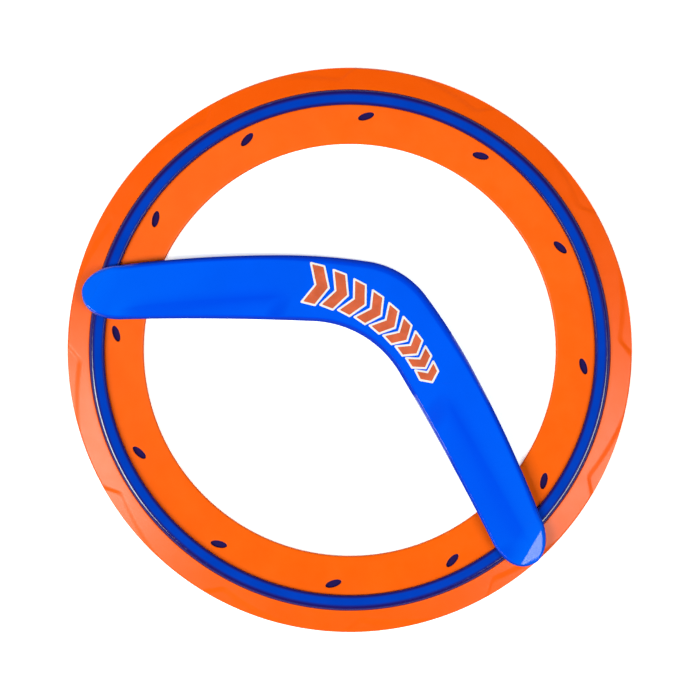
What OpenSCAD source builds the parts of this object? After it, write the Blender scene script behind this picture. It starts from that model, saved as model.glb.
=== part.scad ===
// Flying ring with a boomerang laid across it.
// The origin is on the ground at the ring's centre, and +Z points up.
// The boomerang rests on three places: its elbow on the ground, and each arm on the ring's rib.

/* [Flying ring] */
// Outside diameter of the ring
ring_d = 254; // [250:1:260]
// Diameter of the ring's open middle
hole_d = 185.2; // [182:0.2:187]
// Thickness of the soft outer rim at its edge
rim_edge_t = 1.8; // [1.6:0.1:2]
// Thickness of the soft inner band at its edge
band_edge_t = 2.2; // [2:0.1:2.4]
// Thickness of the inner band where it meets the rib
band_root_t = 3.8; // [3.5:0.1:4]
// Thickness of the outer rim where it meets the rib
rim_root_t = 4.4; // [4.2:0.1:4.6]

/* [Hard core] */
// Radius at which the rib starts
rib_r = 110.3; // [110:0.1:110.6]
// Width of the rib
rib_w = 6.8; // [6.4:0.1:7]
// Height of the rib's crown above the ground
crown_h = 6; // [5.8:0.1:6.4]
// Height of the flange's underside above the ground
flange_z = 0.9; // [0.8:0.1:1]
// Thickness of the flange that the rubber grips
flange_t = 1.2; // [1:0.1:1.3]
// Reach of the flange into the inner band
flange_in = 11.3; // [10:0.1:12]
// Reach of the flange into the outer rim
flange_out = 3.4; // [3:0.1:3.6]
// Number of keying holes in each flange
key_n = 24; // [12:12:24]
// Radius of the keying holes in the inner flange
key_in_r = 1.3; // [1:0.1:1.5]
// Radius of the keying holes in the outer flange
key_out_r = 0.9; // [0.7:0.1:1]

/* [Windows] */
// Number of windows in the inner band
window_n = 12; // [6:6:12]
// Distance of the windows from the ring's centre
window_r = 105.3; // [104.5:0.1:105.6]
// Length of a window
window_l = 7.4; // [6:0.1:7.6]
// Width of a window
window_w = 3.05; // [2.5:0.05:3.4]
// Lean of a window from the ring's tangent, in degrees
window_lean = 21.7; // [10:0.1:25]
// Angle of the first window, in degrees
window_a = -4; // [-6:0.5:-2]

/* [Finger scallops] */
// Number of scallops around the outer rim
scallop_n = 12; // [6:1:12]
// Depth of a scallop, inwards from the rim's edge
scallop_d = 5.3; // [4:0.1:5.6]
// Height of a scallop's floor above the ground, at the rim's edge
scallop_z = 1.3; // [1.2:0.05:1.4]
// Step down into a scallop, at its inner end
scallop_step = 0.45; // [0.4:0.05:0.9]
// Radius of a scallop's round end
scallop_round = 4.5; // [3:0.1:5]
// Slope of a scallop's long side, in degrees
scallop_tail_a = 10.2; // [9:0.1:14]
// Slope of a scallop's short side, in degrees
scallop_head_a = 40; // [30:1:50]
// Angle of the first scallop, in degrees
scallop_a = 2.6; // [0:0.1:5]

/* [Boomerang] */
// Width of the elbow along the line of symmetry
elbow_w = 33.05; // [32:0.05:35]
// Thickness of the elbow and the arms
blade_t = 4.5; // [4.2:0.1:4.8]
// Thickness lost from the middle of an arm to its tip
tip_thin = 1.4; // [1.2:0.1:1.6]
// Length of the rounded end of each arm
tip_l = 16.8; // [15:0.1:17]
// Width of the rounded outer edge at the elbow
bevel_elbow = 3.8; // [3:0.1:4]
// Width of the rounded outer edge along the arms
bevel_arm = 2.4; // [2:0.1:3]
// Width of the rounded inner edge along the arms
bevel_inner = 1.4; // [1.2:0.1:2.2]
// Depth of the flat facet at the outer corner of each tip
facet_drop = 1.3; // [1:0.1:1.4]
// Height of the blunt side walls
wall_h = 1.5; // [1.3:0.1:1.7]
// Depth of the step down along each arm's crease
crease_drop = 0.7; // [0.5:0.05:0.9]
// Gap between the boomerang and the rib below it
lay_gap = 0.35; // [0.3:0.05:0.5]

/* [Graphic] */
// Number of arrowheads in the printed row
arrow_n = 9; // [7:1:10]
// Height of the largest arrowhead
arrow_h0 = 17.2; // [15:0.1:18]
// Height of the smallest arrowhead
arrow_h1 = 8.2; // [8:0.1:10]
// Room along the row for the largest arrowhead
pitch_0 = 9.7; // [9:0.1:10.6]
// Room along the row for the smallest arrowhead
pitch_1 = 7.1; // [7:0.1:8]
// Width of the white outline
outline_w = 0.9; // [0.8:0.05:1]
// Thickness of each film of ink
ink_t = 0.1; // [0.08:0.01:0.12]

/* [Hidden] */
ring_blue = [0.01, 0.22, 0.76];
rubber_orange = [0.99, 0.42, 0.06];
blade_blue = [0.0, 0.36, 0.99];
ink_white = [0.97, 0.97, 0.97];
ink_orange = [0.85, 0.38, 0.2];
fine = 180;
over = 10;

// Ring, derived
ring_r = ring_d / 2;
hole_r = hole_d / 2;
rib_out_r = rib_r + rib_w;
flange_top = flange_z + flange_t;
flange_in_r = rib_r - flange_in;
flange_out_r = rib_out_r + flange_out;
shoulder_r = 1;
crown_in_r = rib_r + shoulder_r;
crown_edge_w = 1.8;
crown_out_r = rib_out_r - crown_edge_w;
crown_fall = crown_h - rim_root_t;
crown_run = rib_out_r - crown_out_r;
crown_curve = (crown_run * crown_run + crown_fall * crown_fall) / (2 * crown_fall);
crown_end_a = asin(crown_run / crown_curve);
rim_flat_r = ring_r - rim_edge_t / 2;
scallop_in_r = ring_r - scallop_d;
scallop_in_share = (scallop_in_r - rib_out_r) / (rim_flat_r - rib_out_r);
scallop_in_z = mix(rim_root_t, rim_edge_t, scallop_in_share) - scallop_step;
key_in_path_r = 103;
key_out_path_r = rib_out_r + flange_out / 2;
key_lead_a = 15;
key_pair_a = 10;

// Boomerang's plan, derived. u runs along the tangent at the apex and v runs from the apex
// inwards along the line of symmetry. Each edge is a chain of arcs that meet without a corner.
apex_round = 39;
apex_end_a = 22.5;
knee_round = 265;
knee_end_a = 31;
arm_round = 580;
crook_round = 47;
crook_end_a = 28.6;
crook_arm_round = 1300;
tip_u_outer = 110;
tip_u_inner = 98;
tip_power_outer = 1.8;
tip_power_inner = 2.3;
apex_shift = 0.25;
apex_end_u = apex_round * sin(apex_end_a);
apex_end_v = apex_shift + apex_round * (1 - cos(apex_end_a));
knee_end_u = apex_end_u + knee_round * (sin(knee_end_a) - sin(apex_end_a));
knee_end_v = apex_end_v + knee_round * (cos(apex_end_a) - cos(knee_end_a));
crook_end_u = crook_round * sin(crook_end_a);
crook_end_v = apex_shift + elbow_w + crook_round * (1 - cos(crook_end_a));

// Boomerang's section, derived. A crease deepens between the two places in crease_in and fades
// between the two in crease_out. It has a lip on its outer side and a toe on its inner side.
thin_from_u = 60;
thin_to_u = 119;
bevel_fade_from = 20;
bevel_fade_to = 60;
facet_from = 113.3;
facet_to = 119.5;
crease_in = [[36, 46], [42, 54]];
crease_out = [[92, 108], [104, 116]];
crease_gap_u = 40;
crease_gap_w = [11, 12.5];
crease_gap_growth = [-0.1, 0.02];
crease_lip = 0.43;
crease_lip_w = 3;
crease_toe_w = 4;
droop_from = 45;
droop_full = 95;
droop_slope = 0.06;
base_round = 0.5;
tip_bevel = 2.4;
arm_steps = 26;
tip_steps = 12;
bevel_steps = 5;

// Boomerang's place on the ring
apex_x = 23;
apex_y = 34.65;
heading = 149.09;
touch_v = 61.9;
lay_roll = 0.07;
lay_tilt = atan((crown_h + lay_gap) / touch_v);

// Graphic, derived
arrow_fill = 0.54;
arrow_sweep = 0.42;
row_r = 75;
row_u = 7;
row_v = 96.2;
row_start_a = 20.9;
row_curve = (pitch_1 - pitch_0) / (2 * (arrow_n - 1));

function arc(cx, cy, r, a0, a1, n) =
    [for (i = [0:n]) [cx + r * cos(a0 + (a1 - a0) * i / n), cy + r * sin(a0 + (a1 - a0) * i / n)]];

function clamp01(t) = max(0, min(1, t));

function smooth(t) = let (c = clamp01(t)) c * c * (3 - 2 * c);

function mix(a, b, t) = a + (b - a) * t;

// A quarter of an ellipse, from 0 at t = 0 to 1 at t = 1 and beyond
function quarter(t) = let (c = 1 - clamp01(t)) sqrt(1 - c * c);

// Height along an arc of radius r that starts at angle a0, after a run of du
function arc_rise(r, a0, du) = let (s = sin(a0) + du / r) r * (cos(a0) - sqrt(1 - s * s));

function outer_v(u) =
    u <= apex_end_u ? apex_shift + arc_rise(apex_round, 0, u)
    : u <= knee_end_u ? apex_end_v + arc_rise(knee_round, apex_end_a, u - apex_end_u)
    : knee_end_v + arc_rise(arm_round, knee_end_a, u - knee_end_u);

function inner_v(u) =
    u <= crook_end_u ? apex_shift + elbow_w + arc_rise(crook_round, 0, u)
    : crook_end_v + arc_rise(crook_arm_round, crook_end_a, u - crook_end_u);

tip_outer = [tip_u_outer, outer_v(tip_u_outer)];
tip_inner = [tip_u_inner, inner_v(tip_u_inner)];
tip_mid = (tip_outer + tip_inner) / 2;
tip_half = (tip_inner - tip_outer) / 2;
tip_along = [tip_half[1], -tip_half[0]] / norm(tip_half);

// A station is [outer point, inner point, distance to the end of the arm]
function arm_station(i) =
    let (f = i / arm_steps, uo = tip_u_outer * f, ui = tip_u_inner * f)
    [[uo, outer_v(uo)], [ui, inner_v(ui)], tip_l];

function tip_station(j) =
    let (a = 88 * j / tip_steps,
         po = 2 / tip_power_outer,
         pi_ = 2 / tip_power_inner)
    [tip_mid + tip_along * tip_l * pow(sin(a), po) - tip_half * pow(cos(a), po),
     tip_mid + tip_along * tip_l * pow(sin(a), pi_) + tip_half * pow(cos(a), pi_),
     tip_l * (1 - sin(a))];

half_stations = concat(
    [for (i = [0:arm_steps]) arm_station(i)],
    [for (j = [1:tip_steps]) tip_station(j)]
);

// The crease differs from arm to arm, and each list above has the arm at side 1 first
function arm_index(side) = side > 0 ? 0 : 1;

// Distance from the crease to the inner edge
function crease_gap(side, u) =
    crease_gap_w[arm_index(side)] + crease_gap_growth[arm_index(side)] * (u - crease_gap_u);

function crease_share(side, u) =
    let (from = crease_in[arm_index(side)], out = crease_out[arm_index(side)])
    smooth((u - from[0]) / (from[1] - from[0])) * (1 - smooth((u - out[0]) / (out[1] - out[0])));

// The step down across the crease: steep at the crease, easing off on both sides
function crease_step(x) =
    x < 0 ? crease_lip * exp(x / crease_lip_w) : 1 - (1 - crease_lip) * exp(-x / crease_toe_w);

// How far the top falls at x from the crease, counted towards the inner edge
function crease_fall(u, x) =
    let (droop = droop_slope * smooth((u - droop_from) / (droop_full - droop_from)))
    crease_drop * crease_step(x) + droop * max(0, x);

// Widths of the rounded outer and inner edges, on a chord of width w
function edge_widths(u, w) =
    let (share = smooth((u - bevel_fade_from) / (bevel_fade_to - bevel_fade_from)))
    [min(mix(bevel_elbow, bevel_arm, share), 0.45 * w), min(bevel_inner, 0.45 * w)];

// How far the top surface falls into a tip's facet, for a place that is pu along the tangent
function facet_fall(pu) = facet_drop * max(0, pu - facet_from) / (facet_to - facet_from);

// Height of the top surface at x from the outer edge, on a chord of width w, at a place pu along the tangent
function top_z(side, u, x, w, left, pu) =
    let (t = blade_t - tip_thin * pow(max(0, u - thin_from_u) / (thin_to_u - thin_from_u), 2),
         bo = edge_widths(u, w)[0],
         bi = edge_widths(u, w)[1],
         share = crease_share(side, u),
         drop = share == 0 ? 0 : share * crease_fall(u, x - (w - crease_gap(side, u))),
         edge = quarter(x / bo) * quarter((w - x) / bi) * quarter(left / tip_bevel))
    wall_h + (t - drop - facet_fall(pu) - wall_h) * edge;

// Places across the top, from the outer edge to the inner edge
function places(side, u, w) =
    let (bo = edge_widths(u, w)[0],
         bi = edge_widths(u, w)[1],
         c = clamp01((w - crease_gap(side, u) - bo) / max(0.1, w - bo - bi)))
    concat([for (k = [0:bevel_steps]) bo * (1 - cos(90 * k / bevel_steps))],
           [for (f = [0.4, 0.75, 1]) bo + (w - bo - bi) * c * f],
           [for (f = [0.2, 0.45, 0.7]) bo + (w - bo - bi) * mix(c, 1, f)],
           [for (k = [bevel_steps:-1:0]) w - bi * (1 - cos(90 * k / bevel_steps))]);

// One closed section through the blade: the base first, then the top from the inner edge back
function section(side, st) =
    let (o = st[0], n = st[1], w = norm(n - o), d = (n - o) / w, u = (o[0] + n[0]) / 2,
         r = min(base_round, 0.3 * w),
         xs = places(side, u, w),
         base = [[0, r], [r, 0], [w - r, 0], [w, r]],
         top = [for (k = [len(xs) - 1:-1:0]) [xs[k], top_z(side, u, xs[k], w, st[2], o[0] + d[0] * xs[k])]])
    [for (p = concat(base, top)) let (q = o + d * p[0]) [side * q[0], q[1], p[1]]];

half_n = len(half_stations);
blade_sections = concat(
    [for (k = [half_n - 1:-1:0]) section(1, half_stations[k])],
    [for (k = [1:half_n - 1]) section(-1, half_stations[k])]
);

// A closed skin over a row of sections that all have the same number of points
module loft(sections) {
    n = len(sections[0]);
    m = len(sections);
    skin = [for (j = [0:m - 2], k = [0:n - 1], half = [0, 1])
        let (a = j * n + k, b = j * n + (k + 1) % n, c = a + n, e = b + n)
        half == 0 ? [a, b, e] : [a, e, c]];
    near_cap = [for (k = [n - 1:-1:0]) k];
    far_cap = [for (k = [0:n - 1]) (m - 1) * n + k];
    polyhedron(points = [for (s = sections) each s], faces = concat(skin, [near_cap, far_cap]));
}

// Section through the hard core, with radius along x and height along y
module core_profile() {
    polygon(concat(
        [[flange_in_r, flange_z], [rib_r, flange_z], [rib_r, 0], [rib_out_r, 0], [rib_out_r, flange_z]],
        [[flange_out_r, flange_z], [flange_out_r, flange_top], [rib_out_r, flange_top]],
        arc(crown_out_r, crown_h - crown_curve, crown_curve, 90 - crown_end_a, 90, 8),
        arc(crown_in_r, crown_h - shoulder_r, shoulder_r, 90, 180, 6),
        [[rib_r, flange_top], [flange_in_r, flange_top]]
    ));
}

module key_holes(path_r, r, n) {
    for (k = [0:n / 2 - 1], side = [-1, 1]) {
        rotate([0, 0, window_a + key_lead_a + k * 720 / n + side * key_pair_a / 2])
            translate([path_r, 0, flange_z - 1])
                cylinder(r = r, h = flange_t + 2, $fn = 32);
    }
}

module core_body() {
    difference() {
        rotate_extrude($fn = fine)
            core_profile();
        key_holes(key_in_path_r, key_in_r, key_n);
        key_holes(key_out_path_r, key_out_r, key_n);
    }
}

module core_ring() {
    color(ring_blue)
        core_body();
}

module window_cuts() {
    for (k = [0:window_n - 1]) {
        rotate([0, 0, window_a + k * 360 / window_n])
            translate([window_r, 0, -over])
                rotate([0, 0, -90 + window_lean])
                    linear_extrude(2 * over)
                        polygon([for (a = [0:12:348]) [window_l / 2 * cos(a), window_w / 2 * sin(a)]]);
    }
}

module inner_band() {
    r = band_edge_t / 2;
    color(rubber_orange)
        difference() {
            rotate_extrude($fn = fine)
                polygon(concat(
                    arc(hole_r + r, r, r, 90, 270, 10),
                    [[rib_r, 0], [rib_r, band_root_t]]
                ));
            core_body();
            window_cuts();
        }
}

// Outline of a scallop: x runs along the rim and y runs inwards from its edge
function scallop_outline() =
    let (cy = scallop_d - scallop_round,
         bottom = arc(0, cy, scallop_round, 90 - scallop_tail_a, 90 + scallop_head_a, 10),
         first = bottom[0],
         last = bottom[len(bottom) - 1],
         out = 3)
    concat([[first[0] + (first[1] + out) / tan(scallop_tail_a), -out]],
           bottom,
           [[last[0] - (last[1] + out) / tan(scallop_head_a), -out]]);

// Everything above the scallops' floors, which fall outwards less steeply than the rim's top does
module above_scallop_floors() {
    fall = (scallop_in_z - scallop_z) / (rim_flat_r - scallop_in_r);
    rotate_extrude($fn = fine)
        polygon([
            [rib_out_r, scallop_in_z + fall * (scallop_in_r - rib_out_r)],
            [ring_r + 1, scallop_z - fall * (ring_r + 1 - rim_flat_r)],
            [ring_r + 1, over],
            [rib_out_r, over]
        ]);
}

module scallop_cuts() {
    intersection() {
        above_scallop_floors();
        for (k = [0:scallop_n - 1]) {
            rotate([0, 0, scallop_a + k * 360 / scallop_n])
                translate([ring_r, 0, 0])
                    rotate([0, 0, 90])
                        linear_extrude(over)
                            polygon(scallop_outline());
        }
    }
}

module outer_rim() {
    r = rim_edge_t / 2;
    color(rubber_orange)
        difference() {
            rotate_extrude($fn = fine)
                polygon(concat(
                    [[rib_out_r, 0]],
                    arc(ring_r - r, r, r, -90, 90, 10),
                    [[rib_out_r, rim_root_t]]
                ));
            core_body();
            scallop_cuts();
        }
}

// Lays what is drawn flat on the ring, with the elbow's edge on the ground
module laid_on_ring() {
    translate([apex_x, apex_y, 0])
        rotate([0, 0, heading])
            rotate([lay_tilt, lay_roll, 0])
                children();
}

module boomerang_blade() {
    color(blade_blue)
        laid_on_ring()
            loft(blade_sections);
}

// Distance along the row from its start to the middle of arrowhead k
function row_place(k) = pitch_0 * (k + 0.5) + row_curve * (k + 0.5) * (k + 0.5);

// An arrowhead that points along +x, made wider by grow on every side
module arrowhead(h, pitch, grow) {
    half = h / 2 + grow;
    slope = arrow_sweep * pitch / (h / 2);
    reach = arrow_fill * pitch / 2 + grow * sqrt(1 + slope * slope);
    nose = arrow_sweep * pitch / 2;
    wing = nose - slope * half;
    polygon([
        [nose - reach, 0], [wing - reach, half], [wing + reach, half],
        [nose + reach, 0], [wing + reach, -half], [wing - reach, -half]
    ]);
}

module arrow_row(grow) {
    for (k = [0:arrow_n - 1]) {
        share = k / (arrow_n - 1);
        a = row_start_a - row_place(k) / row_r * 180 / PI;
        translate([row_u + row_r * sin(a), row_v - row_r * cos(a)])
            rotate([0, 0, 180 + a])
                arrowhead(mix(arrow_h0, arrow_h1, share), mix(pitch_0, pitch_1, share), grow);
    }
}

module graphic_white() {
    color(ink_white)
        laid_on_ring()
            translate([0, 0, blade_t])
                linear_extrude(ink_t)
                    arrow_row(outline_w);
}

module graphic_orange() {
    color(ink_orange)
        laid_on_ring()
            translate([0, 0, blade_t + ink_t])
                linear_extrude(ink_t)
                    arrow_row(0);
}

core_ring();
outer_rim();
inner_band();
boomerang_blade();
graphic_white();
graphic_orange();
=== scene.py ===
"""A flying ring with a boomerang laid across it: the looks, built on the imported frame."""

import math

import bmesh
import bpy
import numpy as np
from mathutils import Matrix, Vector


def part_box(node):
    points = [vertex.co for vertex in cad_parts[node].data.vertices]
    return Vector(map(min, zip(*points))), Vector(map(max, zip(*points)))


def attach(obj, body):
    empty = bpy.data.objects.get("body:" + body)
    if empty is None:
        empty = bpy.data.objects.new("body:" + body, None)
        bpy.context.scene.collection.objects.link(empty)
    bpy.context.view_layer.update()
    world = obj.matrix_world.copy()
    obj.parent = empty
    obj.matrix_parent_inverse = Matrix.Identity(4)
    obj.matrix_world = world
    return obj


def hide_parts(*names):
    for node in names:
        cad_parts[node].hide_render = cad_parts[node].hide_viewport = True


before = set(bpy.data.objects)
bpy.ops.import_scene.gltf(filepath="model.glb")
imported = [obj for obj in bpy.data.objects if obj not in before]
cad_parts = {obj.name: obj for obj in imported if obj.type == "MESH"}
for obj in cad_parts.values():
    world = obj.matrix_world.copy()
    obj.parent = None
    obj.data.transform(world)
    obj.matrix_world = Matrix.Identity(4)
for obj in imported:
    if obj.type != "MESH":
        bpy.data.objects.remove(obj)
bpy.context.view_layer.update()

# Sizes are in millimetres and angles in degrees. make_piece turns each mesh into metres.
# The studio's distances and sizes are in metres, apart from FLOOR_GAP and CAMERA_X.
MM = 0.001

# Ring, from the frame
RING_R = min(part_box("outer_rim")[1].x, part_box("outer_rim")[1].y) / MM
CROWN_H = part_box("core_ring")[1].z / MM

# Ring, as in the design
HOLE_R = 92.6
RIB_R = 110.3
RIB_OUT_R = 117.1
RIM_EDGE_T = 1.8
RIM_ROOT_T = 4.4
BAND_EDGE_T = 2.2
BAND_ROOT_T = 3.8
FLANGE_Z = 0.9
FLANGE_TOP = 2.1
FLANGE_IN_R = 99.0
FLANGE_OUT_R = 120.5
SHOULDER_R = 1.0
CROWN_OUT_R = 115.3
KEY_IN_R = 103.0
KEY_IN_HOLE = 1.3
KEY_OUT_R = 118.8
KEY_OUT_HOLE = 0.9
KEY_SPREAD = 5.0
REPEATS = 12
REPEAT_DEG = 360 / REPEATS
WINDOW_R = 105.3
WINDOW_L = 7.4
WINDOW_W = 3.05
WINDOW_LEAN = 21.7
WINDOW_A = -4.0
SCALLOP_D = 5.3
SCALLOP_Z = 1.3
SCALLOP_STEP = 0.45
SCALLOP_ROUND = 4.5
SCALLOP_TAIL_A = 10.2
SCALLOP_HEAD_A = 40.0
SCALLOP_A = 2.6

# Ring, how finely it is drawn: columns around it, the play and the small roundings between its mouldings
COLUMNS = 720
RIM_COLUMNS = 1080
PLAY = 0.01
LIP = 0.3
SEAM_W = 0.28
SEAM_D = 0.3
NICK = 0.12
SCALLOP_STEP_W = 3.0

# Boomerang, as in the design: u runs along the tangent at the apex, v inwards from the apex
ELBOW_W = 33.05
BLADE_T = 4.5
TIP_THIN = 1.4
THIN_FROM, THIN_RUN = 60.0, 59.0
TIP_L = 16.8
BEVEL_ELBOW = 3.8
BEVEL_ARM = 2.4
BEVEL_FROM, BEVEL_FULL = 20.0, 60.0
BEVEL_INNER = 1.4
FACET_DROP = 1.3
FACET_FROM, FACET_TO = 113.3, 119.5
WALL_H = 1.5
CREASE_DROP = 0.7
CREASE_IN = ((36.0, 46.0), (42.0, 54.0))
CREASE_OUT = ((92.0, 108.0), (104.0, 116.0))
CREASE_GAP_U = 40.0
CREASE_GAP = (11.0, 12.5)
CREASE_GROWTH = (-0.1, 0.02)
CREASE_LIP = 0.43
CREASE_LIP_W = 3.0
CREASE_TOE_W = 4.0
DROOP_SLOPE = 0.06
DROOP_FROM, DROOP_FULL = 45.0, 95.0
APEX_SHIFT = 0.25
APEX_ROUND, APEX_END_A = 39.0, 22.5
KNEE_ROUND, KNEE_END_A = 265.0, 31.0
ARM_ROUND = 580.0
CROOK_ROUND, CROOK_END_A = 47.0, 28.6
CROOK_ARM_ROUND = 1300.0
TIP_U_OUTER = 110.0
TIP_U_INNER = 98.0
TIP_POWER_OUTER = 1.8
TIP_POWER_INNER = 2.3
BASE_ROUND = 0.5
TIP_BEVEL = 2.4
APEX_X, APEX_Y = 23.0, 34.65
HEADING = 149.09
TOUCH_V = 61.9
LAY_GAP = 0.35
LAY_ROLL = 0.07

# Print on the boomerang
ARROWS = 9
ARROW_H = (17.2, 8.2)
PITCH = (9.7, 7.1)
OUTLINE_W = 0.9
INK_T = 0.1
INK_WALL = 0.6
INK_BEVEL = 0.04
ARROW_FILL = 0.54
ARROW_SWEEP = 0.42
ARROW_BLUNT = 0.25
ROW_R = 75.0
ROW_U, ROW_V = 7.0, 96.2
ROW_START_A = 20.9

# Where the ring's looks change, as radii and heights
RIM_SHADE_AND_HAZE_R = (116.0, 119.0)
# Radii of the painted shade on the rib's outer and inner flanks
FLANK_OUT_R = (114.3, 115.5)
FLANK_IN_R = (110.9, 112.0)
GLINT_R = (113.0, 114.5)
RIB_SHOWS_Z = (2.4, 3.2)
BASE_SHOWS_Z = (0.2, 0.5)

# Where the boomerang's looks change: distance from the apex, then places along the tangent
PALER_REACH = (75.0, 130.0)
FACET_BLUR = 0.2
FACET_FADE = 8.0
CROOK_GLOSS = ((-64.0, -58.0), (-36.0, -33.0))
TIP_GLOSS = (103.0, 105.0)
SCRATCH_A = -31.0

# Studio
FLOOR_SIZE = 20.0
FLOOR_GAP = 0.05
LIGHT_COLOUR = (0.94, 1.0, 0.89)
CAMERA_DISTANCE = 3.0
CAMERA_COVERS = 0.3151
CAMERA_X = 0.1


def smooth(t):
    """0 below 0, 1 above 1, and an even change between them."""
    c = np.clip(t, 0, 1)
    return c * c * (3 - 2 * c)


def quarter(t):
    """A quarter of an ellipse, from 0 at 0 to 1 at 1 and beyond."""
    c = 1 - np.clip(t, 0, 1)
    return np.sqrt(np.maximum(0, 1 - c * c))


def mix(a, b, t):
    """The value a share t of the way from a to b."""
    return a + (b - a) * t


def arc(cx, cy, r, a0, a1, steps):
    """Points of an arc, as (x, y) pairs, with angles in degrees."""
    a = np.radians(np.linspace(a0, a1, steps + 1))
    return [(cx + r * c, cy + r * s) for c, s in zip(np.cos(a), np.sin(a))]


def line(a, b, steps):
    """Points from a towards b, without b."""
    return [(mix(a[0], b[0], k / steps), mix(a[1], b[1], k / steps)) for k in range(steps)]


def make_piece(name, points, faces, body, nodes, sharp=30):
    """One closed piece from points in millimetres, riding on a body and standing for CAD nodes."""
    mesh = bpy.data.meshes.new(name)
    mesh.from_pydata([tuple(p) for p in np.asarray(points) * MM], [], [tuple(f) for f in faces])
    bm = bmesh.new()
    bm.from_mesh(mesh)
    bmesh.ops.recalc_face_normals(bm, faces=bm.faces)
    bm.to_mesh(mesh)
    bm.free()
    mesh.shade_smooth()
    mesh.set_sharp_from_angle(angle=math.radians(sharp))
    piece = bpy.data.objects.new(name, mesh)
    bpy.context.collection.objects.link(piece)
    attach(piece, body)
    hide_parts(*nodes)
    return piece


class Turned:
    """A closed skin turned around the ring's axis: rows of radius and height, in even columns.

    rows has the shape (rows, columns, 2), and its last row joins its first one.
    """

    def __init__(self, rows):
        self.n, self.columns = rows.shape[:2]
        a = column_angles(self.columns)
        x = rows[..., 0] * np.cos(a)
        y = rows[..., 0] * np.sin(a)
        self.blocks = [np.stack([x, y, rows[..., 1]], -1).reshape(-1, 3)]
        self.count = self.n * self.columns
        self.kept = np.ones((self.n, self.columns), bool)
        self.faces = []

    def patch_loop(self, row_in, row_out, angle, reach):
        """Drops the faces of a patch and returns the points around it.

        The patch reaches from row_in to row_out, and reach degrees to each side of angle.
        """
        step = 1 if row_out > row_in else -1
        rows = list(range(row_in, row_out + step, step))
        per_degree = self.columns / 360
        middle = round(angle * per_degree)
        wide = round(reach * per_degree)
        columns = [k % self.columns for k in range(middle - wide, middle + wide + 1)]
        for row in range(min(row_in, row_out), max(row_in, row_out)):
            self.kept[row, columns[:-1]] = False
        loop = [(row_in, c) for c in columns[:-1]]
        loop += [(r, columns[-1]) for r in rows[:-1]]
        loop += [(row_out, c) for c in columns[:0:-1]]
        loop += [(r, columns[0]) for r in rows[:0:-1]]
        return np.array([r * self.columns + c for r, c in loop])

    def add_loop(self, points, last):
        """Adds a loop of points, and the faces between it and the loop before."""
        ids = self.count + np.arange(len(points))
        self.blocks.append(points)
        self.count += len(points)
        self.bridge(last, ids)
        return ids

    def bridge(self, a, b):
        """Faces between two loops with the same number of points."""
        self.faces.append(np.stack([a, np.roll(a, -1), np.roll(b, -1), b], -1))

    def open_oval(self, row_in, row_out, angle, reach, oval, height, lip=0.0, rings=5):
        """Opens an oval hole in a patch around angle, and returns the loop at its edge.

        oval is (distance from the axis, half length, half width, lean from the radius in degrees).
        lip rounds the edge over: downwards if positive, upwards if negative.
        """
        ids = self.patch_loop(row_in, row_out, angle, reach)
        corner = self.blocks[0][ids][:, :2]
        a = math.radians(angle)
        centre = oval[0] * np.array([math.cos(a), math.sin(a)])
        lean = a + math.radians(oval[3])
        turn = np.array([[math.cos(lean), -math.sin(lean)], [math.sin(lean), math.cos(lean)]])
        local = (corner - centre) @ turn
        t = np.arctan2(local[:, 1] / oval[2], local[:, 0] / oval[1])

        def edge(grow):
            edge_xy = np.stack([oval[1] * np.cos(t), oval[2] * np.sin(t)], -1)
            out = np.stack([np.cos(t) / oval[1], np.sin(t) / oval[2]], -1)
            out /= np.linalg.norm(out, axis=1)[:, None]
            return (edge_xy + grow * out) @ turn.T + centre

        def at(xy, drop):
            return np.column_stack([xy, height(np.hypot(xy[:, 0], xy[:, 1])) - drop])

        brim = edge(abs(lip))
        for k in range(1, rings + 1):
            ids = self.add_loop(at(mix(corner, brim, k / rings), 0), ids)
        if lip:
            for phi in np.radians([18, 36, 54, 72, 90]):
                xy = edge(abs(lip) * (1 - math.sin(phi)))
                ids = self.add_loop(at(xy, lip * (1 - math.cos(phi))), ids)
        return ids

    def piece(self, name, body, slot, nodes):
        """The finished skin as a piece, without the points that its holes left unused."""
        rows, columns = np.nonzero(self.kept)
        low = rows * self.columns
        high = (rows + 1) % self.n * self.columns
        after = (columns + 1) % self.columns
        grid = np.stack([low + columns, low + after, high + after, high + columns], -1)
        points = np.concatenate(self.blocks)
        faces = np.concatenate([grid] + self.faces)
        used = np.unique(faces)
        place = np.zeros(len(points), int)
        place[used] = np.arange(len(used))
        return make_piece(name, points[used], place[faces], body, nodes)


def column_angles(columns):
    return np.radians(np.arange(columns) * 360 / columns)


def spin(profile, columns):
    """The same profile in every column."""
    return np.repeat(np.array(profile, float)[:, None, :], columns, axis=1)


def nearest_row(profile, r, z):
    """The row of a profile that is nearest to a radius and a height."""
    near = [math.hypot(p[0] - r, p[1] - z) for p in profile]
    return int(np.argmin(near))


def key_angles():
    """The keying holes' angles: a pair half-way between each two windows."""
    for k in range(REPEATS):
        middle = WINDOW_A + (k + 0.5) * REPEAT_DEG
        yield middle - KEY_SPREAD
        yield middle + KEY_SPREAD


def level(z):
    """The height of a flat face, as a function of the radius."""
    return lambda r: np.full_like(r, z)


KEY_IN_OVAL = (KEY_IN_R, KEY_IN_HOLE, KEY_IN_HOLE, 0)
KEY_OUT_OVAL = (KEY_OUT_R, KEY_OUT_HOLE, KEY_OUT_HOLE, 0)
WINDOW_OVAL = (WINDOW_R, WINDOW_L / 2, WINDOW_W / 2, WINDOW_LEAN - 90)
# Patches of the skins that hold a hole: inner radius, outer radius, degrees to each side
KEY_IN_PATCH = (101.0, 105.0, 1.5)
KEY_OUT_PATCH = (117.5, 120.1, 1.0)
WINDOW_PATCH = (102.2, 108.4, 3.0)


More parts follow.
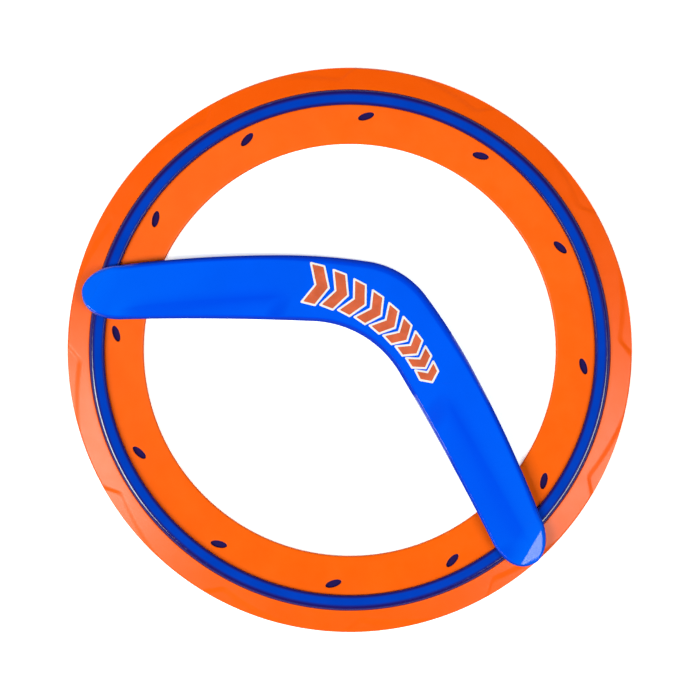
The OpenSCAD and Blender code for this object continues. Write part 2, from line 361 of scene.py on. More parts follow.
def punch_keys(skin, profile, oval, patch, low, high):
    """Joins two levels of a skin through the keying holes."""
    for angle in key_angles():
        loops = []
        for z in (low, high):
            row_in = nearest_row(profile, patch[0], z)
            row_out = nearest_row(profile, patch[1], z)
            loops.append(skin.open_oval(row_in, row_out, angle, patch[2], oval, level(z), rings=2))
        skin.bridge(*loops)


def make_core():
    """The hard core: a rib, a base and a flange with keying holes on both sides."""
    fall = CROWN_H - RIM_ROOT_T
    run = RIB_OUT_R - CROWN_OUT_R
    curve = (run * run + fall * fall) / (2 * fall)
    end_a = math.degrees(math.asin(run / curve))
    profile = arc(RIB_R + NICK, NICK, NICK, 180, 270, 3)
    profile += line((RIB_R + 1, 0), (RIB_OUT_R - 1, 0), 3)
    profile += arc(RIB_OUT_R - NICK, NICK, NICK, 270, 360, 3)
    profile += line((RIB_OUT_R, FLANGE_Z), (FLANGE_OUT_R, FLANGE_Z), 8)
    profile += line((FLANGE_OUT_R, FLANGE_Z), (FLANGE_OUT_R, FLANGE_TOP), 2)
    profile += line((FLANGE_OUT_R, FLANGE_TOP), (RIB_OUT_R, FLANGE_TOP), 8)
    profile += line((RIB_OUT_R, FLANGE_TOP), (RIB_OUT_R, RIM_ROOT_T), 3)
    profile += arc(CROWN_OUT_R, CROWN_H - curve, curve, 90 - end_a, 90, 14)
    profile += line((CROWN_OUT_R - 0.4, CROWN_H), (RIB_R + SHOULDER_R, CROWN_H), 6)
    profile += arc(RIB_R + SHOULDER_R, CROWN_H - SHOULDER_R, SHOULDER_R, 90, 180, 10)
    profile += line((RIB_R, CROWN_H - SHOULDER_R - 0.4), (RIB_R, FLANGE_TOP), 4)
    profile += line((RIB_R, FLANGE_TOP), (FLANGE_IN_R, FLANGE_TOP), 24)
    profile += line((FLANGE_IN_R, FLANGE_TOP), (FLANGE_IN_R, FLANGE_Z), 2)
    profile += line((FLANGE_IN_R, FLANGE_Z), (RIB_R, FLANGE_Z), 24)
    profile += [(RIB_R, FLANGE_Z)]
    skin = Turned(spin(profile, COLUMNS))
    punch_keys(skin, profile, KEY_IN_OVAL, KEY_IN_PATCH, FLANGE_Z, FLANGE_TOP)
    punch_keys(skin, profile, KEY_OUT_OVAL, KEY_OUT_PATCH, FLANGE_Z, FLANGE_TOP)
    return skin.piece("ring_core", "ring", "core_plastic", ["core_ring"])


def make_inner_band():
    """The inner rubber band, with windows on top and underneath, gripping the core's flange."""
    half = BAND_EDGE_T / 2
    top_r = HOLE_R + half
    slope = (BAND_ROOT_T - BAND_EDGE_T) / (RIB_R - top_r)
    ceiling = FLANGE_TOP + PLAY
    floor = FLANGE_Z - PLAY
    back = FLANGE_IN_R - PLAY
    wall = RIB_R - PLAY

    def top(r):
        return BAND_EDGE_T + slope * (r - top_r)

    seam_r = wall - SEAM_W
    step = (WINDOW_PATCH[1] - WINDOW_PATCH[0]) / 14
    held = np.linspace(WINDOW_PATCH[0], WINDOW_PATCH[1], 15)
    radii = np.concatenate([np.linspace(top_r, held[0] - step, 6), held,
                            np.linspace(held[-1] + step, seam_r, 3)])
    gripped = np.concatenate([np.linspace(back, held[0] - step, 4), held,
                              np.linspace(held[-1] + step, wall, 3)])
    lip = [(seam_r + SEAM_W * math.sin(a), top(seam_r) - SEAM_D * (1 - math.cos(a)))
           for a in np.radians([20, 40, 60, 80, 90])]
    profile = [(r, top(r)) for r in radii]
    profile += lip
    profile += line((wall, ceiling + 0.6), (wall, ceiling), 2)
    profile += [(r, ceiling) for r in gripped[::-1]]
    profile += [(back, mix(ceiling, floor, 0.5))]
    profile += [(r, floor) for r in gripped]
    profile += [(wall, floor / 2), (wall, NICK)]
    profile += [(r, 0.0) for r in np.append(radii, wall - NICK)[::-1]]
    profile += arc(top_r, half, half, 270, 90, 12)[1:-1]
    skin = Turned(spin(profile, COLUMNS))
    top_to_core = ((top, LIP), (level(ceiling), 0.0))
    base_to_core = ((level(0.0), -LIP), (level(floor), 0.0))
    for k in range(REPEATS):
        for opening in (top_to_core, base_to_core):
            loops = []
            for height, edge in opening:
                rows = [nearest_row(profile, r, height(np.array([r]))[0]) for r in WINDOW_PATCH[:2]]
                angle = WINDOW_A + k * REPEAT_DEG
                loops.append(skin.open_oval(*rows, angle, WINDOW_PATCH[2], WINDOW_OVAL, height, edge))
            skin.bridge(*loops)
    punch_keys(skin, profile, KEY_IN_OVAL, KEY_IN_PATCH, floor, ceiling)
    return skin.piece("ring_inner_rubber", "ring", "rubber", ["inner_band"])


def scallop_start(angle):
    """The radius at which a scallop starts at an angle, or a large one where there is no scallop.

    A scallop's outline is a long straight tail, a round bottom and a short straight head.
    """
    x = (angle - SCALLOP_A + REPEAT_DEG / 2) % REPEAT_DEG - REPEAT_DEG / 2
    x = RING_R * np.radians(x)
    middle = SCALLOP_D - SCALLOP_ROUND
    tail = math.radians(SCALLOP_TAIL_A)
    head = math.radians(SCALLOP_HEAD_A)
    tail_x = SCALLOP_ROUND * math.sin(tail)
    tail_y = middle + SCALLOP_ROUND * math.cos(tail)
    head_x = -SCALLOP_ROUND * math.sin(head)
    head_y = middle + SCALLOP_ROUND * math.cos(head)
    bottom = middle + np.sqrt(np.maximum(0, SCALLOP_ROUND ** 2 - x * x))
    depth = np.where(x > tail_x, tail_y - (x - tail_x) * math.tan(tail),
                     np.where(x < head_x, head_y + (x - head_x) * math.tan(head), bottom))
    return RING_R - depth


def make_outer_rim():
    """The outer rubber rim, with finger scallops, gripping the core's outer flange."""
    half = RIM_EDGE_T / 2
    edge_r = RING_R - half
    slope = (RIM_ROOT_T - RIM_EDGE_T) / (edge_r - RIB_OUT_R)
    wall = RIB_OUT_R + PLAY
    back = FLANGE_OUT_R + PLAY
    ceiling = FLANGE_TOP + PLAY
    floor = FLANGE_Z - PLAY
    seam_r = wall + SEAM_W
    step_w = SCALLOP_STEP_W
    scallop_in_r = RING_R - SCALLOP_D

    def top(r):
        bent = half + np.sqrt(np.maximum(0, half ** 2 - np.maximum(0, r - edge_r) ** 2))
        return np.where(r < edge_r, RIM_ROOT_T - slope * (r - RIB_OUT_R), bent)

    fall = (float(top(scallop_in_r)) - SCALLOP_STEP - SCALLOP_Z) / (edge_r - scallop_in_r)

    def scallop_floor(r):
        return SCALLOP_Z - fall * (r - edge_r)

    end_r = edge_r + half
    for _ in range(10):
        end_r = edge_r + math.sqrt(half ** 2 - (scallop_floor(end_r) - half) ** 2)
    angle = np.degrees(column_angles(RIM_COLUMNS))
    scallop_r = scallop_start(angle)
    start = np.minimum(scallop_r, end_r - step_w / 2 - 0.1)
    blocks = []
    seam = [(wall + SEAM_W * (1 - math.cos(a)), top(seam_r) - SEAM_D * (1 - math.sin(a)))
            for a in np.radians([0, 10, 30, 50, 70])]
    for r, z in seam:
        blocks.append(np.stack([np.full(RIM_COLUMNS, r), np.full(RIM_COLUMNS, z)], -1))

    def surface(r):
        share = smooth((scallop_r + step_w / 2 - r) / step_w)
        z = top(r)
        low = scallop_floor(r)
        return np.where(z > low, mix(low, z, share), z)

    for k in range(14):
        r = mix(seam_r, start - step_w / 2, k / 14)
        blocks.append(np.stack([r, surface(r)], -1))
    for k in range(10):
        r = start + (k / 10 - 0.5) * step_w
        blocks.append(np.stack([r, surface(r)], -1))
    for k in range(6):
        r = mix(start + step_w / 2, end_r, k / 6)
        blocks.append(np.stack([r, surface(r)], -1))
    high_a = math.degrees(math.asin((scallop_floor(end_r) - half) / half))
    profile = arc(edge_r, half, half, high_a, -90, 14)
    profile += line((edge_r - 0.5, 0), (wall + NICK, 0), 12)
    profile += [(wall + NICK, 0), (wall, NICK), (wall, floor / 2)]
    profile += line((wall, floor), (back, floor), 8)
    profile += line((back, floor), (back, ceiling), 2)
    profile += line((back, ceiling), (wall, ceiling), 8)
    profile += [(wall, ceiling), (wall, mix(ceiling, seam[0][1], 0.5))]
    rows = np.concatenate([np.array(blocks), spin(profile, RIM_COLUMNS)])
    skin = Turned(rows)
    plain = [tuple(p) for p in rows[:, 0]]
    punch_keys(skin, plain, KEY_OUT_OVAL, KEY_OUT_PATCH, floor, ceiling)
    return skin.piece("ring_outer_rubber", "ring", "rubber", ["outer_rim"])


def arc_rise(r, a0, du):
    """Height along an arc of radius r that starts at angle a0, after a run of du."""
    s = math.sin(math.radians(a0)) + du / r
    return r * (math.cos(math.radians(a0)) - math.sqrt(1 - s * s))


def outer_v(u):
    """The outer outline of an arm: an arc at the apex, one at the knee and one along the arm."""
    apex_u = APEX_ROUND * math.sin(math.radians(APEX_END_A))
    apex_v = APEX_SHIFT + APEX_ROUND * (1 - math.cos(math.radians(APEX_END_A)))
    knee_u = apex_u + KNEE_ROUND * (math.sin(math.radians(KNEE_END_A)) - math.sin(math.radians(APEX_END_A)))
    knee_v = apex_v + KNEE_ROUND * (math.cos(math.radians(APEX_END_A)) - math.cos(math.radians(KNEE_END_A)))
    if u <= apex_u:
        return APEX_SHIFT + arc_rise(APEX_ROUND, 0, u)
    if u <= knee_u:
        return apex_v + arc_rise(KNEE_ROUND, APEX_END_A, u - apex_u)
    return knee_v + arc_rise(ARM_ROUND, KNEE_END_A, u - knee_u)


def inner_v(u):
    """The inner outline of an arm: an arc at the crook and one along the arm."""
    crook_u = CROOK_ROUND * math.sin(math.radians(CROOK_END_A))
    crook_v = APEX_SHIFT + ELBOW_W + CROOK_ROUND * (1 - math.cos(math.radians(CROOK_END_A)))
    if u <= crook_u:
        return APEX_SHIFT + ELBOW_W + arc_rise(CROOK_ROUND, 0, u)
    return crook_v + arc_rise(CROOK_ARM_ROUND, CROOK_END_A, u - crook_u)


def half_stations():
    """(outer point, inner point, distance to the end of the arm), from the elbow to the tip."""
    stations = []
    arm_steps = 150
    for i in range(arm_steps + 1):
        uo = TIP_U_OUTER * i / arm_steps
        ui = TIP_U_INNER * i / arm_steps
        stations.append((np.array([uo, outer_v(uo)]), np.array([ui, inner_v(ui)]), TIP_L))
    outer, inner, _ = stations[-1]
    middle = (outer + inner) / 2
    half = (inner - outer) / 2
    along = np.array([half[1], -half[0]]) / np.linalg.norm(half)
    tip_steps = 44
    for j in range(1, tip_steps + 1):
        a = math.radians(89.6 * j / tip_steps)
        po = 2 / TIP_POWER_OUTER
        pi = 2 / TIP_POWER_INNER
        o = middle + along * TIP_L * math.sin(a) ** po - half * math.cos(a) ** po
        i = middle + along * TIP_L * math.sin(a) ** pi + half * math.cos(a) ** pi
        stations.append((o, i, TIP_L * (1 - math.sin(a))))
    return stations


def arm_index(side):
    """The crease differs from arm to arm, and its lists have the arm at side 1 first."""
    return 0 if side > 0 else 1


def crease_gap(side, u):
    """Distance from the crease to the inner edge."""
    arm = arm_index(side)
    return CREASE_GAP[arm] + CREASE_GROWTH[arm] * (u - CREASE_GAP_U)


def crease_share(side, u):
    """How much of the crease there is at u: it fades in along the arm and out before the tip."""
    start = CREASE_IN[arm_index(side)]
    out = CREASE_OUT[arm_index(side)]
    share = smooth((u - start[0]) / (start[1] - start[0]))
    return share * (1 - smooth((u - out[0]) / (out[1] - out[0])))


def bevels(u, w):
    """Widths of the rounded outer and inner edges."""
    outer = mix(BEVEL_ELBOW, BEVEL_ARM, smooth((u - BEVEL_FROM) / (BEVEL_FULL - BEVEL_FROM)))
    return min(outer, 0.45 * w), min(BEVEL_INNER, 0.45 * w)


def top_z(side, u, x, w, left, place_u):
    """Height of the blade's top at x from the outer edge, on a chord of width w.

    left is the distance to the end of the arm. Each tip's outer corner falls away in a flat facet,
    which depends on place_u only.
    """
    t = BLADE_T - TIP_THIN * (max(0, u - THIN_FROM) / THIN_RUN) ** 2
    bo, bi = bevels(u, w)
    d = x - (w - crease_gap(side, u))
    lip = CREASE_LIP * np.exp(np.minimum(d, 0) / CREASE_LIP_W)
    toe = 1 - (1 - CREASE_LIP) * np.exp(-np.maximum(d, 0) / CREASE_TOE_W)
    step = np.where(d < 0, lip, toe)
    droop = DROOP_SLOPE * smooth((u - DROOP_FROM) / (DROOP_FULL - DROOP_FROM))
    drop = crease_share(side, u) * (CREASE_DROP * step + droop * np.maximum(0, d))
    edge = quarter(x / bo) * quarter((w - x) / bi) * quarter(left / TIP_BEVEL)
    facet = FACET_DROP * np.maximum(0, place_u - FACET_FROM) / (FACET_TO - FACET_FROM)
    return WALL_H + (t - drop - facet - WALL_H) * edge


def blade_section(side, station):
    """One closed section through the blade, as points in the blade's own frame."""
    outer, inner, left = station
    w = np.linalg.norm(inner - outer)
    across = (inner - outer) / w
    u = (outer[0] + inner[0]) / 2
    bo, bi = bevels(u, w)
    r = min(BASE_ROUND, 0.3 * w)
    low = arc(r, r, r, 180, 270, 5)
    low += line((mix(r, w - r, 0.1), 0), (w - r, 0), 8)
    low += arc(w - r, r, r, 270, 360, 5)
    low += [(w, mix(r, WALL_H, 0.5))]
    turn = np.linspace(0, 90, 13)
    from_inner = w - bi * (1 - np.cos(np.radians(turn)))
    flat = np.linspace(w - bi, bo, 42)[1:-1]
    to_outer = bo * (1 - np.cos(np.radians(turn[::-1])))
    xs = np.concatenate([from_inner, flat, to_outer])
    top = np.stack([xs, top_z(side, u, xs, w, left, outer[0] + across[0] * xs)], -1)
    xz = np.concatenate([np.array(low), top, [(0, mix(r, WALL_H, 0.5))]])
    plan = outer + across * xz[:, :1]
    return np.column_stack([side * plan[:, 0], plan[:, 1], xz[:, 1]])


def laid_on_ring():
    """The matrix that lays the flat boomerang on the ring, in millimetres."""
    tilt = math.atan((CROWN_H + LAY_GAP) / TOUCH_V)
    turn = Matrix.Rotation(math.radians(LAY_ROLL), 4, "Y") @ Matrix.Rotation(tilt, 4, "X")
    return Matrix.Translation((APEX_X, APEX_Y, 0)) @ Matrix.Rotation(math.radians(HEADING), 4, "Z") @ turn


def lay(points):
    """Points of the flat boomerang, where they are once it lies on the ring."""
    m = np.array(laid_on_ring())
    return np.asarray(points) @ m[:3, :3].T + m[:3, 3]


def make_blade():
    """The boomerang: one loft from tip to tip."""
    half = half_stations()
    sections = [blade_section(1, s) for s in half[::-1]] + [blade_section(-1, s) for s in half[1:]]
    n = len(sections[0])
    faces = []
    for j in range(len(sections) - 1):
        for k in range(n):
            a = j * n + k
            b = j * n + (k + 1) % n
            faces.append((a, b, b + n, a + n))
    faces.append(tuple(range(n)))
    faces.append(tuple(range((len(sections) - 1) * n, len(sections) * n)))
    return make_piece("boomerang_body", lay(np.concatenate(sections)), faces,
                      "boomerang", ["boomerang_blade"])


def rounded(corners, radii):
    """The outline of a polygon with each corner rounded to its own radius."""
    out = []
    n = len(corners)
    for k in range(n):
        p = np.array(corners[k], float)
        a = np.array(corners[k - 1], float) - p
        b = np.array(corners[(k + 1) % n], float) - p
        a /= np.linalg.norm(a)
        b /= np.linalg.norm(b)
        opening = math.acos(np.clip(a @ b, -1, 1))
        reach = radii[k] / math.tan(opening / 2)
        start = p + a * reach
        end = p + b * reach
        middle = p + (a + b) / np.linalg.norm(a + b) * radii[k] / math.sin(opening / 2)
        a0 = math.atan2(*(start - middle)[::-1])
        swing = (math.atan2(*(end - middle)[::-1]) - a0 + math.pi) % (2 * math.pi) - math.pi
        out += [middle + radii[k] * np.array([math.cos(a0 + swing * s), math.sin(a0 + swing * s)])
                for s in np.linspace(0, 1, 7)]
    return np.array(out)


def arrowhead(h, pitch, grow):
    """An arrowhead that points along +x, made wider by grow on every side."""
    half = h / 2 + grow
    slope = ARROW_SWEEP * pitch / (h / 2)
    reach = ARROW_FILL * pitch / 2 + grow * math.sqrt(1 + slope * slope)
    nose = ARROW_SWEEP * pitch / 2
    wing = nose - slope * half
    corners = [(nose - reach, 0), (wing - reach, half), (wing + reach, half),
               (nose + reach, 0), (wing + reach, -half), (wing - reach, -half)]
    blunt = ARROW_BLUNT + 0.3 * grow
    return rounded(corners, [blunt] * 6)


def make_print(name, node, grow, z):
    """One film of ink: a row of arrowheads that shrink towards the end."""
    points = []
    faces = []
    curve = (PITCH[1] - PITCH[0]) / (2 * (ARROWS - 1))
    for k in range(ARROWS):
        share = k / (ARROWS - 1)
        place = PITCH[0] * (k + 0.5) + curve * (k + 0.5) ** 2
        a = ROW_START_A - math.degrees(place / ROW_R)
        rad = math.radians(a)
        centre = np.array([ROW_U + ROW_R * math.sin(rad), ROW_V - ROW_R * math.cos(rad)])
        turn = math.radians(180 + a)
        spin_xy = np.array([[math.cos(turn), -math.sin(turn)], [math.sin(turn), math.cos(turn)]])
        first = len(points)
        for inset, height in ((0, 0), (0, INK_T * INK_WALL), (INK_BEVEL, INK_T)):
            outline = arrowhead(mix(*ARROW_H, share), mix(*PITCH, share), grow - inset)
            n = len(outline)
            points += [(*(spin_xy @ p + centre), z + height) for p in outline]
        for level_k in range(2):
            low = first + level_k * n
            faces += [(low + j, low + (j + 1) % n, low + n + (j + 1) % n, low + n + j) for j in range(n)]
        faces.append(tuple(range(first, first + n)))
        faces.append(tuple(range(first + 2 * n, first + 3 * n)))
    return make_piece(name, lay(points), faces, "boomerang", [node])


class Shader:
    """A short way to write a material's nodes."""

    def __init__(self, name):
        self.material = bpy.data.materials.new(name)
        self.material.use_nodes = True
        self.tree = self.material.node_tree
        self.bsdf = self.tree.nodes["Principled BSDF"]
        self.where = self.add("ShaderNodeTexCoord").outputs["Object"]

    def add(self, kind, inputs=None, **settings):
        node = self.tree.nodes.new(kind)
        for key, value in settings.items():
            setattr(node, key, value)
        for key, value in (inputs or {}).items():
            self.put(node.inputs[key], value)
        return node

    def put(self, socket, value):
        """Links an output to the socket, or sets the socket's own value."""
        if isinstance(value, bpy.types.NodeSocket):
            self.tree.links.new(value, socket)
        else:
            socket.default_value = value

    def noise(self, size_mm, detail=2.0, where=None):
        """Noise between about 0 and 1, whose features are size_mm across."""
        node = self.add("ShaderNodeTexNoise", {"Vector": where or self.where, "Scale": 1 / (size_mm * MM),
                                               "Detail": detail, "Roughness": 0.55})
        return node.outputs["Fac"]

    def separate_z(self, vector):
        return self.add("ShaderNodeSeparateXYZ", {"Vector": vector}).outputs["Z"]

    def band(self, value, low, high, to_low, to_high):
        """value from low to high becomes to_low to to_high, and stays there beyond."""
        node = self.add("ShaderNodeMapRange", {"Value": value, "From Min": low, "From Max": high,
                                               "To Min": to_low, "To Max": to_high})
        return node.outputs["Result"]

    def span(self, value, ends_mm, to_low, to_high):
        """band for a value in metres, with the two ends in millimetres."""
        return self.band(value, ends_mm[0] * MM, ends_mm[1] * MM, to_low, to_high)

    def radius(self):
        """Distance from the ring's axis, in metres."""
        flat = self.vector_math("MULTIPLY", self.where, (1, 1, 0)).outputs["Vector"]
        return self.add("ShaderNodeVectorMath", {0: flat}, operation="LENGTH").outputs["Value"]

    def blend(self, share, a, b):
        node = self.add("ShaderNodeMix", data_type="RGBA")
        self.put(node.inputs["Factor"], share)
        self.put(node.inputs["A"], a)
        self.put(node.inputs["B"], b)
        return node.outputs["Result"]

    def vector_math(self, operation, a, b):
        return self.add("ShaderNodeVectorMath", {0: a, 1: b}, operation=operation)

    def math(self, operation, a, b=0.0):
        node = self.add("ShaderNodeMath", operation=operation)
        self.put(node.inputs[0], a)
        self.put(node.inputs[1], b)
        return node.outputs["Value"]

    def bump(self, height, distance_mm, strength, normal=None):
        node = self.add("ShaderNodeBump", {"Height": height, "Distance": distance_mm * MM,
                                           "Strength": strength})
        if normal is not None:
            self.put(node.inputs["Normal"], normal)
        return node.outputs["Normal"]

    def tilt(self, level, stops):
        """A value that depends on the angle between the surface and a level direction.

        stops are (degrees, value) pairs, with the degrees rising.
        """
        normal = self.add("ShaderNodeNewGeometry").outputs["Normal"]
        cosine = self.vector_math("DOT_PRODUCT", normal, tuple(level)).outputs["Value"]
        angle = self.math("ARCCOSINE", self.math("MINIMUM", cosine, 1.0))
        degrees = self.math("MULTIPLY", angle, 180 / math.pi)
        ramp = self.add("ShaderNodeFloatCurve", {"Value": self.math("DIVIDE", degrees, 90)})
        curve = ramp.mapping.curves[0]
        while len(curve.points) < len(stops):
            curve.points.new(0.5, 0.5)
        for point, (stop, value) in zip(curve.points, stops):
            point.location = (stop / 90, value)
            point.handle_type = "VECTOR"
        ramp.mapping.update()
        return ramp.outputs["Value"]

    def sides(self, share):
        """share on upright surfaces, fading to 0 on level ones."""
        normal = self.add("ShaderNodeNewGeometry").outputs["Normal"]
        return self.band(self.math("ABSOLUTE", self.separate_z(normal)), 0.35, 0.9, share, 0)

    def edges(self, low, high):
        """1 on the rounded outward edges of a mesh, 0 on its flats."""
        return self.band(self.add("ShaderNodeNewGeometry").outputs["Pointiness"], low, high, 0, 1)

    def times(self, a, b):
        return self.math("MULTIPLY", a, b)


def colour(r, g, b):
    """An opaque colour, in linear values."""
    return (r, g, b, 1.0)


def rubber_material():
    """Soft satin rubber with a fine grain, faint flow marks and paler, worn edges, with painted shade on
    its upright sides and on the outer rim.
    """
    s = Shader("orange_rubber")
    mottle = s.band(s.noise(14, 3), 0.35, 0.65, 0, 1)
    base = s.blend(mottle, colour(0.98, 0.116, 0.0005), colour(1.0, 0.126, 0.001))
    # Painted shade: the outer rim is coloured darker than the inner band.
    base = s.blend(s.span(s.radius(), RIM_SHADE_AND_HAZE_R, 0, 0.5), base, colour(0.99, 0.09, 0.0005))
    # Painted shade: upright surfaces, such as window walls and the rim's edge, are coloured darker.
    base = s.blend(s.sides(0.85), base, colour(0.4, 0.03, 0.001))
    grain = s.noise(0.5, 2)
    base = s.blend(s.band(grain, 0.5, 0.8, 0, 0.12), base, colour(0.99, 0.17, 0.02))
    worn = s.times(s.edges(0.53, 0.62), s.band(s.noise(3, 3), 0.4, 0.7, 0.0, 0.35))
    base = s.blend(worn, base, colour(1.0, 0.26, 0.07))
    s.put(s.bsdf.inputs["Base Color"], base)
    s.put(s.bsdf.inputs["Roughness"], s.band(s.noise(7, 2), 0.3, 0.7, 0.28, 0.33))
    flow = s.bump(s.noise(12, 1), 0.2, 0.2)
    s.put(s.bsdf.inputs["Normal"], s.bump(grain, 0.01, 0.4, flow))
    s.put(s.bsdf.inputs["Specular IOR Level"], s.span(s.radius(), RIM_SHADE_AND_HAZE_R, 0.18, 0.34))
    s.bsdf.inputs["IOR"].default_value = 1.5
    return s.material


def core_material():
    """Hard glossy blue plastic, with painted shade on the rib's flanks and on the flange, bright on its
    outer slope.
    """
    s = Shader("core_blue")
    mottle = s.band(s.noise(20, 2), 0.35, 0.65, 0, 1)
    base = s.blend(mottle, colour(0.0, 0.043, 0.49), colour(0.001, 0.049, 0.54))
    radius = s.radius()
    height = s.separate_z(s.where)
    on_rib = s.span(height, RIB_SHOWS_Z, 0, 1)
    flange_shade = s.times(s.span(height, RIB_SHOWS_Z, 1, 0), s.span(height, BASE_SHOWS_Z, 0, 1))
    # Painted shade: the rib's flanks next to the rubber are coloured dark.
    flanks = s.math("MAXIMUM", s.span(radius, FLANK_OUT_R, 0, 0.95), s.span(radius, FLANK_IN_R, 0.95, 0))
    base = s.blend(s.times(flanks, on_rib), base, colour(0.015, 0.005, 0.12))
    # Painted shade on the flange, which shows at the bottom of the windows.
    base = s.blend(flange_shade, base, colour(0.02, 0.01, 0.1))
    worn = s.times(s.edges(0.53, 0.64), s.band(s.noise(4, 3), 0.45, 0.7, 0.0, 0.5))
    base = s.blend(worn, base, colour(0.02, 0.12, 0.75))
    s.put(s.bsdf.inputs["Base Color"], base)
    scuffs = s.band(s.noise(1.2, 4), 0.45, 0.75, 0.1, 0.22)
    s.put(s.bsdf.inputs["Roughness"], scuffs)
    slope = s.tilt((0, 0, 1), [(0, 0), (8, 0), (16, 1), (34, 1), (46, 0), (90, 0)])
    slope = s.times(s.times(slope, s.span(radius, GLINT_R, 0, 1)), on_rib)
    s.put(s.bsdf.inputs["Specular IOR Level"], s.band(slope, 0, 1, 0.2, 1.1))
    s.put(s.bsdf.inputs["Normal"], s.bump(s.noise(6, 2), 0.08, 0.3))
    s.bsdf.inputs["IOR"].default_value = 1.46
    return s.material


def blade_material():
    """Bright blue plastic: mould waves, hairline scratches and paler worn edges, with painted shade on
    slopes and steep edges and painted light towards the tips.

    It is satin on top, and glossy on the tips' facets, in the crook and around one tip.
    """
    s = Shader("blade_blue")
    mottle = s.band(s.noise(25, 2), 0.35, 0.65, 0, 1)
    base = s.blend(mottle, colour(0.0, 0.095, 0.95), colour(0.0, 0.102, 1.0))
    apex = (APEX_X * MM, APEX_Y * MM, 0)
    reach = s.vector_math("DISTANCE", s.where, apex).outputs["Value"]
    from_apex = s.vector_math("SUBTRACT", s.where, apex).outputs["Vector"]
    heading = (math.cos(math.radians(HEADING)), math.sin(math.radians(HEADING)), 0)
    sideways = s.vector_math("DOT_PRODUCT", from_apex, heading).outputs["Value"]
    either_arm = s.math("ABSOLUTE", sideways)
    facet = s.span(either_arm, (FACET_FROM - FACET_BLUR, FACET_FROM + FACET_BLUR), 0, 1)
    # Painted light: the blade is coloured paler towards the tips.
    base = s.blend(s.span(reach, PALER_REACH, 0, 1), base, colour(0.0, 0.122, 1.0))
    level = laid_on_ring().to_3x3() @ Vector((0, 0, 1))
    on_arm = s.span(either_arm, (FACET_FROM - FACET_FADE, FACET_FROM), 1, 0)
    # Painted shade: the top's slopes, at the crease and the bevels, are coloured deeper blue the more they
    # tilt, except near the tip facets.
    slope_shade = s.tilt(level, [(0, 0), (0.8, 0.03), (2.2, 0.16), (5.5, 0.42), (12, 0.55), (90, 0.8)])
    base = s.blend(s.times(slope_shade, on_arm), base, colour(0.0, 0.03, 0.75))
    # Painted shade: steep edges of the blade are coloured darker.
    rim = s.tilt(level, [(0, 0), (18, 0), (45, 0.65), (90, 0.8)])
    base = s.blend(rim, base, colour(0.01, 0.035, 0.4))
    satin = s.tilt(level, [(0, 0.14), (2, 0.14), (6, 0.05), (25, 0.04), (40, 0), (90, 0)])
    crook = s.times(s.span(sideways, CROOK_GLOSS[0], 0, 0.3), s.span(sideways, CROOK_GLOSS[1], 1, 0))
    tip = s.span(sideways, TIP_GLOSS, 0, 0.5)
    steep = s.tilt(level, [(0, 0), (13, 0), (18, 1), (90, 1)])
    glossy = s.times(s.math("MAXIMUM", crook, tip), steep)
    on_facet = s.times(facet, s.tilt(level, [(0, 0.5), (15, 0.5), (22, 0), (90, 0)]))
    glossy = s.math("MAXIMUM", glossy, on_facet)
    s.put(s.bsdf.inputs["Specular IOR Level"], s.math("MAXIMUM", satin, glossy))
    worn = s.times(s.edges(0.53, 0.62), s.band(s.noise(3, 4), 0.45, 0.7, 0.0, 0.3))
    base = s.blend(worn, base, colour(0.03, 0.2, 1.0))
    s.put(s.bsdf.inputs["Base Color"], base)
    along = s.add("ShaderNodeMapping", {"Vector": s.where, "Rotation": (0, 0, math.radians(SCRATCH_A)),
                                        "Scale": (0.06, 1.0, 1.0)}).outputs["Vector"]
    scratches = s.band(s.noise(0.5, 3, along), 0.6, 0.75, 0, 1)
    s.put(s.bsdf.inputs["Roughness"], s.band(scratches, 0, 1, 0.13, 0.3))
    waves = s.bump(s.noise(16, 1), 0.25, 0.2)
    s.put(s.bsdf.inputs["Normal"], s.bump(scratches, 0.004, 0.5, waves))
    s.bsdf.inputs["IOR"].default_value = 1.46
    return s.material


def ink_material(name, dark, pale):
    """Semi-gloss printed ink, a little thin in places."""
    s = Shader(name)
    thin = s.band(s.noise(0.8, 4), 0.5, 0.8, 0, 1)
    base = s.blend(s.band(s.noise(6, 2), 0.35, 0.65, 0, 1), dark, pale)
    s.put(s.bsdf.inputs["Base Color"], s.blend(s.times(thin, 0.12), base, colour(0.3, 0.3, 0.5)))
    s.put(s.bsdf.inputs["Roughness"], s.band(s.noise(2, 2), 0.3, 0.7, 0.3, 0.42))
    s.put(s.bsdf.inputs["Normal"], s.bump(s.noise(0.3, 2), 0.01, 0.4))
    return s.material


def dress(piece, material):
    piece.data.materials.append(material)


def make_floor():
    """A plain pale floor, a hair below the ring's flat underside."""
    z = -FLOOR_GAP * MM
    mesh = bpy.data.meshes.new("floor")
    corners = [(x * FLOOR_SIZE, y * FLOOR_SIZE, z) for x, y in ((-1, -1), (1, -1), (1, 1), (-1, 1))]
    mesh.from_pydata(corners, [], [(0, 1, 2, 3)])
    floor = bpy.data.objects.new("floor", mesh)
    bpy.context.collection.objects.link(floor)
    s = Shader("pale_floor")
    s.put(s.bsdf.inputs["Base Color"], colour(0.98, 0.98, 0.98))
    s.put(s.bsdf.inputs["Roughness"], 0.9)
    s.put(s.bsdf.inputs["Specular IOR Level"], 0.1)
    s.put(s.bsdf.inputs["Emission Color"], colour(1, 1, 1))
    s.put(s.bsdf.inputs["Emission Strength"], 0.5)
    dress(floor, s.material)


def softbox(name, azimuth, elevation, distance, width, height, power):
    """A rectangular light, aimed at the object."""
    light = bpy.data.lights.new(name, "AREA")
    light.shape = "RECTANGLE"
    light.size = width
    light.size_y = height
    light.energy = power
    light.color = LIGHT_COLOUR
    box = bpy.data.objects.new(name, light)
    a = math.radians(azimuth)
    e = math.radians(elevation)
    towards = Vector((math.cos(e) * math.cos(a), math.cos(e) * math.sin(a), math.sin(e)))
    box.location = distance * towards
    box.rotation_euler = (-box.location).to_track_quat("-Z", "Y").to_euler()
    box.visible_camera = False
    bpy.context.collection.objects.link(box)


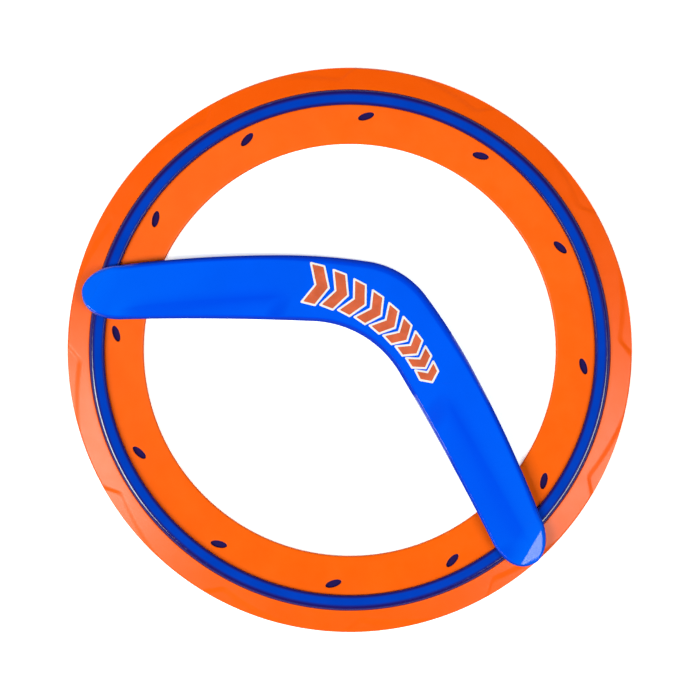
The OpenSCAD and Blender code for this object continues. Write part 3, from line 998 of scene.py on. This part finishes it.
def make_world():
    """A studio that is bright low down and dark overhead, where the camera stands."""
    world = bpy.data.worlds.new("studio")
    world.use_nodes = True
    bpy.context.scene.world = world
    tree = world.node_tree
    where = tree.nodes.new("ShaderNodeTexCoord").outputs["Generated"]
    split = tree.nodes.new("ShaderNodeSeparateXYZ")
    tree.links.new(where, split.inputs[0])
    ramp = tree.nodes.new("ShaderNodeValToRGB")
    tree.links.new(split.outputs["Z"], ramp.inputs["Fac"])
    stops = [(0.0, 1.0), (0.12, 0.8), (0.35, 0.06), (0.85, 0.01)]
    ramp.color_ramp.elements[0].position = stops[0][0]
    ramp.color_ramp.elements[1].position = stops[-1][0]
    for place, value in stops[1:-1]:
        ramp.color_ramp.elements.new(place)
    for element, (place, value) in zip(ramp.color_ramp.elements, stops):
        element.color = colour(value, value, value)
    tree.links.new(ramp.outputs["Color"], tree.nodes["Background"].inputs["Color"])
    tree.nodes["Background"].inputs["Strength"].default_value = 1.0


def make_camera():
    """Straight down on the ring, from far enough away for the edges to look upright."""
    data = bpy.data.cameras.new("camera")
    camera = bpy.data.objects.new("camera", data)
    bpy.context.collection.objects.link(camera)
    data.sensor_width = 36
    data.lens = data.sensor_width * CAMERA_DISTANCE / CAMERA_COVERS
    data.clip_end = 100
    camera.location = (CAMERA_X * MM, 0, CAMERA_DISTANCE)
    camera.rotation_euler = (0, 0, 0)
    bpy.context.scene.camera = camera


make_camera()
rubber = rubber_material()
dress(make_core(), core_material())
dress(make_inner_band(), rubber)
dress(make_outer_rim(), rubber)
dress(make_blade(), blade_material())
dress(make_print("print_white", "graphic_white", OUTLINE_W, BLADE_T),
      ink_material("white_ink", colour(0.92, 0.84, 0.88), colour(0.97, 0.9, 0.94)))
dress(make_print("print_orange", "graphic_orange", 0.0, BLADE_T + INK_T),
      ink_material("orange_ink", colour(0.64, 0.1, 0.03), colour(0.76, 0.125, 0.042)))
make_floor()
make_world()
softbox("softbox_right", azimuth=-27, elevation=59, distance=3.0, width=1.3, height=1.8, power=52)
softbox("softbox_left", azimuth=-158, elevation=50, distance=3.0, width=1.2, height=1.9, power=76)
bpy.context.scene.view_settings.view_transform = "Standard"
